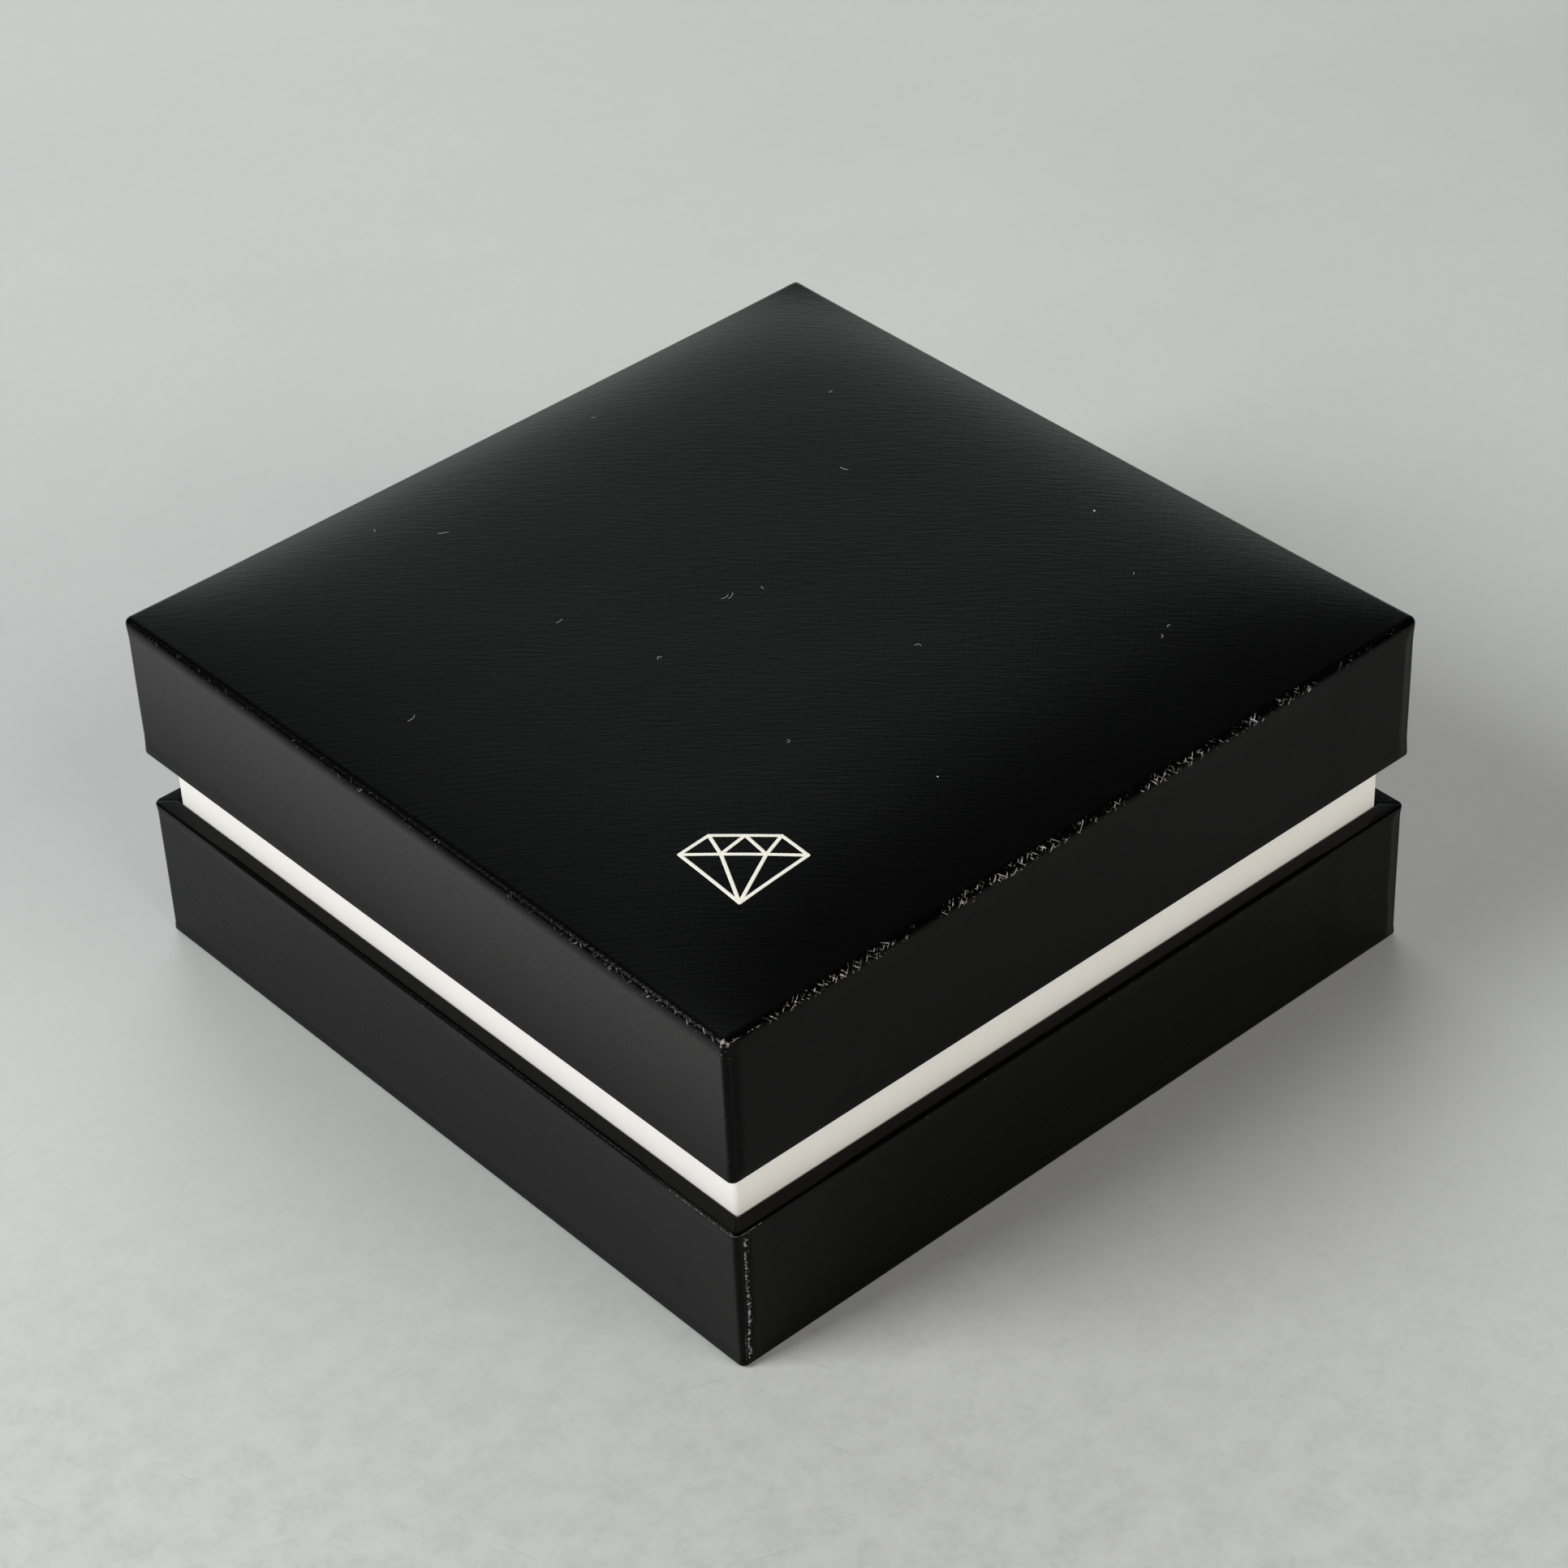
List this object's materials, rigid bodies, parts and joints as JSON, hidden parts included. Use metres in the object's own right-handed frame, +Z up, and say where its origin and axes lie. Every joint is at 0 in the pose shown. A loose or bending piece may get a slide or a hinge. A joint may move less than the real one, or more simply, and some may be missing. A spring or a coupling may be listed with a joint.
{
  "type": "jewelry gift box",
  "caption": "Square two-piece rigid gift box with a padded embossed black lid, a cream neck band and a lift-out velvet pad with a ring groove.",
  "frame": {"origin": "middle of the box's underside, on the surface it stands on", "axes": "+Z up, +X across the front, -Y towards the front, which is the side with the pad's ribbon tab"},
  "size_m": [0.1, 0.1, 0.047],
  "materials": {
    "grey_board": "matte",
    "embossed_paper": "satin",
    "lining_paper": "matte",
    "neck_paper": "matte",
    "corner_tape": "matte",
    "foam": "matte",
    "pad_card": "matte",
    "velvet": "matte",
    "satin_ribbon": "satin"
  },
  "bodies": {
    "base": {"base_bottom_sheet": "lining_paper", "base_wrap": "embossed_paper", "base_floor_board": "grey_board", "base_front_wall_board": "grey_board", "base_back_wall_board": "grey_board", "base_left_wall_board": "grey_board", "base_right_wall_board": "grey_board", "base_corner_stays": "corner_tape", "base_floor_liner": "lining_paper", "neck_front_board": "grey_board", "neck_back_board": "grey_board", "neck_left_board": "grey_board", "neck_right_board": "grey_board", "neck_wrap": "neck_paper"},
    "pad": {"pad_card": "pad_card", "pad_front_foam_roll": "foam", "pad_back_foam_roll": "foam", "pad_velvet_cover": "velvet", "pad_ribbon_tab": "satin_ribbon"},
    "lid": {"lid_wrap": "embossed_paper", "lid_top_board": "grey_board", "lid_front_wall_board": "grey_board", "lid_back_wall_board": "grey_board", "lid_left_wall_board": "grey_board", "lid_right_wall_board": "grey_board", "lid_corner_stays": "corner_tape", "lid_foam_pad": "foam", "lid_ceiling_liner": "lining_paper"}
  },
  "joints": [
    {"name": "pad_lift", "type": "slide", "parent": "base", "child": "pad", "axis": [0, 0, 1], "range_m": [0, 0.05]},
    {"name": "lid_lift", "type": "slide", "parent": "pad", "child": "lid", "axis": [0, 0, 1], "range_m": [0, 0.06]}
  ]
}
